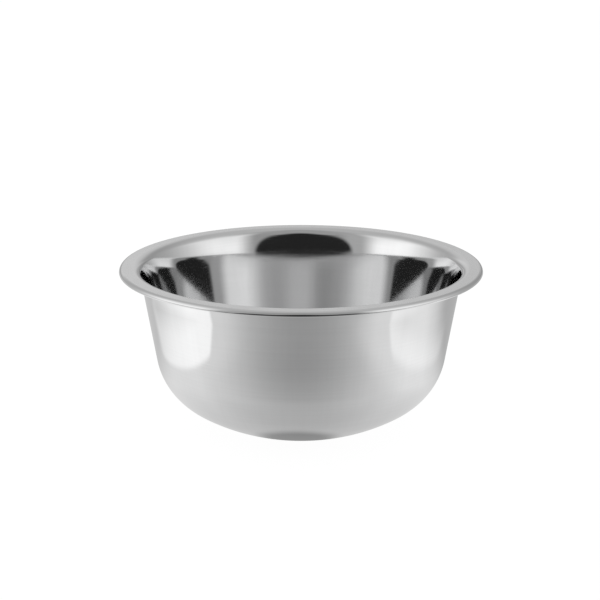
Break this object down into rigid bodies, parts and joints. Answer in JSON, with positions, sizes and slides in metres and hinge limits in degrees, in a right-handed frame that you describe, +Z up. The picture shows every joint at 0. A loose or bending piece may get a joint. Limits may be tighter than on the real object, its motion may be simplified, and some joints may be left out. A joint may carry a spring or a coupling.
{
  "type": "shaving bowl",
  "caption": "Round steel shaving bowl with steep sides, a rounded bottom, a small flat base and a flat flange with a rolled edge round the mouth.",
  "frame": {"origin": "centre of the resting face, on the bowl's axis", "axes": "+Z up along the bowl's axis, out of its mouth; the bowl is round, so X and Y are free, and -Y is the side seen first"},
  "size_m": [0.11, 0.11, 0.0505],
  "materials": {
    "polished_steel": "polished"
  },
  "bodies": {
    "root": {"bowl_shell": "polished_steel"}
  },
  "joints": []
}
